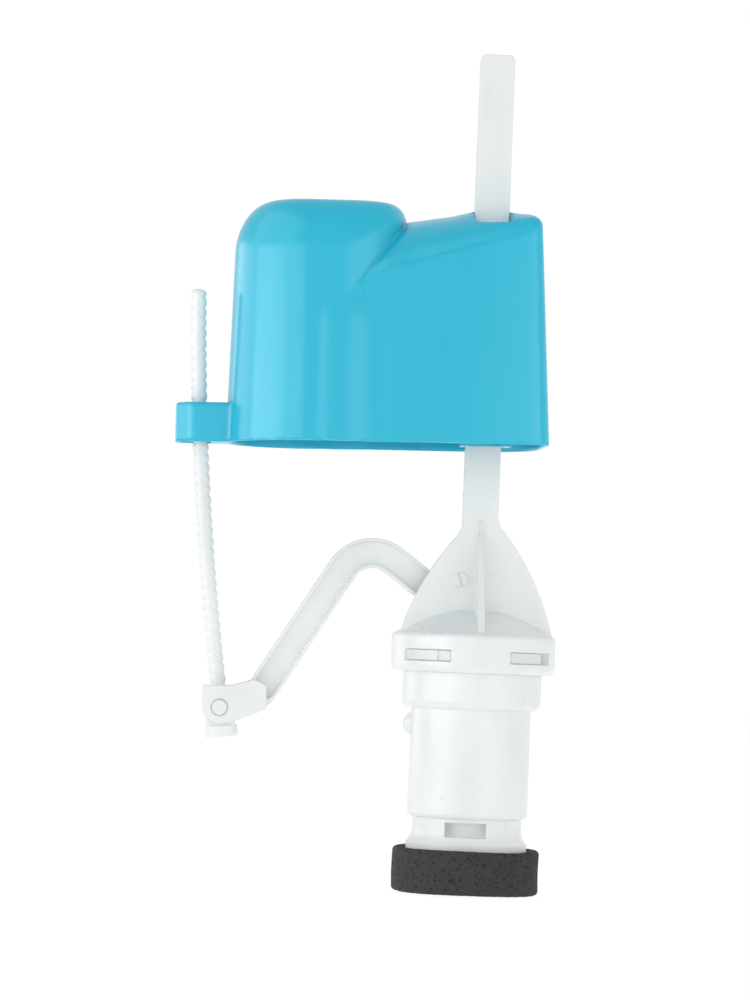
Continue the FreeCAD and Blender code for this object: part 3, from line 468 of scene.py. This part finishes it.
def block_field(x, y, z):
    """The tapering box round the stem, under its sloping roof."""
    rise = z - RIM
    corner = np.where(y < (BLOCK_FRONT + BLOCK_BACK) / 2, FRONT_CORNER, BACK_CORNER)
    spans = ((BLOCK_LEFT, BLOCK_RIGHT - rise * BLOCK_RIGHT_DRAFT), (BLOCK_FRONT, BLOCK_BACK))
    bulge = BLOCK_BULGE * np.clip(1 - ((x - BULGE_MIDDLE) / (BLOCK_RIGHT - BULGE_MIDDLE)) ** 2, 0, 1)
    side = rounded_rectangle(x, y, spans, corner) + rise * DRAFT - bulge
    step = 0.5
    level = roof_level(x, y)
    run = np.hypot((roof_level(x + step, y) - level) / step, (roof_level(x, y + step) - level) / step)
    roof = (z - level) / np.sqrt(1 + run ** 2)
    return round_meet(side, roof, 0.7 + 2.1 * smooth_step(x, -30, -18))


def bracket_field(x, y, z):
    """The arm that holds the level rod: flush with the rim, with its front left corner cut off."""
    half = BRACKET_HALF_DEPTH
    plan = rounded_rectangle(x, y, (BRACKET_SPAN, (-half, half)), 0.6)
    cut_corner = ((BRACKET_SPAN[0] - x) + (-half - y) + BRACKET_BEVEL) / math.sqrt(2)
    plan = round_meet(plan, cut_corner, 0.5)
    return round_meet(plan, z - RIM - BRACKET_HEIGHT, 0.8)


def float_field(points):
    """Signed distance to the float: a hollow cup with its stem sleeve and rod bracket, leaning."""
    wx, y, wz = points.T
    cos, sin = math.cos(FLOAT_LEAN), math.sin(FLOAT_LEAN)
    dx, dz = wx - LEAN_SPOT[0], wz - LEAN_SPOT[1]
    x = LEAN_SPOT[0] + cos * dx + sin * dz
    z = LEAN_SPOT[1] - sin * dx + cos * dz
    reach = 1.8 - 1.4 * smooth_step(z, 139, 148)
    outer = soft_union(lobe_field(x, y, z), block_field(x, y, z), reach)
    recess = np.maximum(rounded_rectangle(wx, wz, STEM_RECESS[:2], STEM_RECESS[2]), y - STEM_SLOT[1][0])
    outer = np.maximum(outer, -recess)
    solid = soft_union(outer, bracket_field(x, y, z), 0.8)
    shell = np.maximum(solid, -(outer + WALL))
    sleeve = np.maximum(rounded_rectangle(x, y, SLEEVE, 0.4), outer + 0.4)
    cup = round_meet(soft_union(shell, sleeve, 0.8), RIM - z, 0.25)
    slot = rounded_rectangle(wx, y, STEM_SLOT[:2], STEM_SLOT[2])
    passage = np.maximum(rounded_rectangle(wx, y, ROD_PASSAGE[:2], ROD_PASSAGE[2]), z - RIM - 20)
    return np.maximum(cup, -np.minimum(slot, passage))


def surface_net(field, low, high, cell):
    """Points and four-sided faces on a field's zero surface, inside a box, at a cell size."""
    counts = [int(math.ceil((b - a) / cell)) + 1 for a, b in zip(low, high)]
    axes = [low[i] + cell * np.arange(counts[i]) for i in range(3)]
    grid = np.stack(np.meshgrid(*axes, indexing="ij"), -1)
    values = field(grid.reshape(-1, 3)).reshape(counts)
    inside = values < 0
    cells = tuple(count - 1 for count in counts)
    total = np.zeros((*cells, 3))
    hits = np.zeros(cells)
    crossings = []
    for axis in range(3):
        first = [slice(None)] * 3
        second = [slice(None)] * 3
        first[axis], second[axis] = slice(0, -1), slice(1, None)
        first, second = tuple(first), tuple(second)
        crossed = inside[first] != inside[second]
        span = np.where(crossed, values[first] - values[second], 1.0)
        share = np.where(crossed, values[first] / span, 0.0)
        spot = grid[first].copy()
        spot[..., axis] += share * cell
        crossings.append(crossed)
        others = [i for i in range(3) if i != axis]
        for back_a in (0, 1):
            for back_b in (0, 1):
                take = [slice(None)] * 3
                for other, back in zip(others, (back_a, back_b)):
                    take[other] = slice(back, counts[other] - 1 + back)
                take = tuple(take)
                total += np.where(crossed[take][..., None], spot[take], 0.0)
                hits += crossed[take]
    used = hits > 0
    index = np.full(cells, -1)
    index[used] = np.arange(used.sum())
    points = total[used] / hits[used][:, None]
    faces = []
    for axis in range(3):
        others = [i for i in range(3) if i != axis]
        where = np.argwhere(crossings[axis])
        keep = np.all([(where[:, o] > 0) & (where[:, o] < cells[o]) for o in others], axis=0)
        where = where[keep]
        ring = []
        for back_a, back_b in ((1, 1), (0, 1), (0, 0), (1, 0)):
            spot = where.copy()
            spot[:, others[0]] -= back_a
            spot[:, others[1]] -= back_b
            ring.append(index[tuple(spot.T)])
        ring = np.stack(ring, 1)
        flip = inside[tuple(where.T)] if axis != 1 else ~inside[tuple(where.T)]
        faces.append(np.where(flip[:, None], ring, ring[:, ::-1]))
    return points, np.concatenate(faces)


def settle(points, field, rounds=4, step=0.02):
    """Moves points along a field's slope onto its zero surface, by less than a cell."""
    start = points.copy()
    for _ in range(rounds):
        value = field(points)
        slope = np.stack([(field(points + offset) - value) / step
                          for offset in np.eye(3) * step], 1)
        length = np.maximum((slope ** 2).sum(1), 0.25)
        points = points - slope * (value / length)[:, None]
    shift = points - start
    size = np.maximum(np.linalg.norm(shift, axis=1, keepdims=True), 1e-9)
    return start + shift * np.minimum(1.0, FLOAT_CELL * 0.7 / size)


def make_float():
    points, faces = surface_net(float_field, *FLOAT_BOX, FLOAT_CELL)
    points = settle(points, float_field)
    piece = make_mesh("float", points, faces, "blue_plastic", 50)
    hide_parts("float_cup")
    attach(piece, "float")


def rod_centre(level):
    """Position across and slope of the rod's centre line at a level: a smooth curve near its points."""
    across, levels = np.array(ROD_LINE).T
    fit = np.polynomial.Polynomial.fit(levels, across, 3)
    return fit(level), fit.deriv()(level)


def make_rod():
    """A bar with rounded teeth down both sides, a smooth front and back, and a rounded end."""
    low, high = ROD_LINE[0][1], ROD_LINE[-1][1]
    rings, around = ROD_RINGS, ROD_AROUND
    levels = np.linspace(low, high, rings)
    angles = np.linspace(0, 2 * math.pi, around, endpoint=False)
    across, slope = rod_centre(levels)
    phase = (levels / ROD_TOOTH_PITCH) % 1.0
    tooth = ROD_TOOTH * (1 - np.abs(2 * phase - 1) ** 2.6)
    end = np.sqrt(np.clip(1 - (np.clip(levels - high + ROD_END, 0, None) / ROD_END) ** 2, 0, 1))
    width = np.clip(np.abs(np.cos(angles)) * 1.45 - 0.45, 0, 1) ** 0.6
    side = (ROD_SIDE + tooth[:, None] * width) * np.cos(angles)
    front = np.broadcast_to(ROD_FRONT * np.sin(angles), side.shape)
    side, front = side * end[:, None], front * end[:, None]
    lean = np.sqrt(1 + slope ** 2)
    x = across[:, None] + side / lean[:, None]
    z = levels[:, None] - side * (slope / lean)[:, None]
    points = np.stack([x, front, z], -1).reshape(-1, 3)
    ring, spot = np.meshgrid(np.arange(rings - 1), np.arange(around), indexing="ij")
    following = (spot + 1) % around
    faces = np.stack([ring * around + spot, ring * around + following,
                      (ring + 1) * around + following, (ring + 1) * around + spot], -1).reshape(-1, 4)
    piece = make_mesh("toothed_rod", points, faces, "white_plastic", 60)
    close_ends(piece, around)
    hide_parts("level_rod")
    top, foot = ((rod_centre(level)[0] * MM, 0, level * MM) for level in ROD_BEND)
    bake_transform(piece)


def close_ends(piece, around):
    """Closes a tube's first and last rings."""
    mesh = bmesh.new()
    mesh.from_mesh(piece.data)
    mesh.verts.ensure_lookup_table()
    mesh.faces.new([mesh.verts[i] for i in range(around)][::-1])
    mesh.faces.new([mesh.verts[i] for i in range(len(mesh.verts) - around, len(mesh.verts))])
    bmesh.ops.recalc_face_normals(mesh, faces=mesh.faces)
    mesh.to_mesh(piece.data)
    mesh.free()


def make_foam_ring():
    """A ring cut from foam sheet: soft edges, a slightly wavy side and open pits."""
    around, corner = FOAM_AROUND, FOAM_CORNER
    corners = ((FOAM_BORE, 0.0), (FOAM_RADIUS, 0.0), (FOAM_RADIUS, FOAM_HEIGHT), (FOAM_BORE, FOAM_HEIGHT))
    section = []
    for start, finish in zip(corners, corners[1:] + corners[:1]):
        count = int(math.dist(start, finish) / FOAM_STEP)
        for share in np.linspace(0, 1, count, endpoint=False):
            section.append([a + (b - a) * share for a, b in zip(start, finish)])
    section = np.array(section)
    centre = np.array([(FOAM_BORE + FOAM_RADIUS) / 2, FOAM_HEIGHT / 2])
    half = np.array([(FOAM_RADIUS - FOAM_BORE) / 2, FOAM_HEIGHT / 2])
    inner = np.clip(section, centre - half + corner, centre + half - corner)
    out = section - inner
    length = np.maximum(np.linalg.norm(out, axis=1, keepdims=True), 1e-6)
    rounded = np.where(length > corner, inner + out / length * corner, section)
    angles = np.linspace(0, 2 * math.pi, around, endpoint=False)
    radius, level = rounded[:, 0], rounded[:, 1]
    level = level + FOAM_BULGE * smooth_step(radius, 15.3, 16.2) * (level / FOAM_HEIGHT) ** 2
    points = np.stack([np.outer(np.cos(angles), radius), np.outer(np.sin(angles), radius),
                       np.broadcast_to(level, (around, len(level)))], -1)
    normal_out = np.where(length > 1e-3, out / length, 0.0)
    normals = np.stack([np.outer(np.cos(angles), normal_out[:, 0]),
                        np.outer(np.sin(angles), normal_out[:, 0]),
                        np.broadcast_to(normal_out[:, 1], (around, len(level)))], -1)
    flat = points.reshape(-1, 3)
    generator = np.random.default_rng(7)
    depth = 0.05 * generator.random(len(flat))
    pits = flat[generator.integers(0, len(flat), FOAM_PITS)]
    sizes = generator.uniform(0.25, 0.62, len(pits))
    for pit, size in zip(pits, sizes):
        near = np.linalg.norm(flat - pit, axis=1) / size
        depth = np.maximum(depth, np.where(near < 1, size * 0.75 * (1 - near ** 2), 0.0))
    wave = 0.10 * np.sin(3 * np.arctan2(flat[:, 1], flat[:, 0]) + 0.35 * flat[:, 2]) + 0.10
    flat = flat - normals.reshape(-1, 3) * (depth + wave)[:, None]
    count = len(section)
    turn, spot = np.meshgrid(np.arange(around), np.arange(count), indexing="ij")
    after, following = (turn + 1) % around, (spot + 1) % count
    faces = np.stack([turn * count + spot, after * count + spot, after * count + following,
                      turn * count + following], -1).reshape(-1, 4)
    piece = make_mesh("foam_seat", flat, faces, "foam")
    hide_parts("foam_ring")
    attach(piece, "valve")


make_camera()
make_studio()
paint_nodes()
make_float()
make_rod()
make_foam_ring()
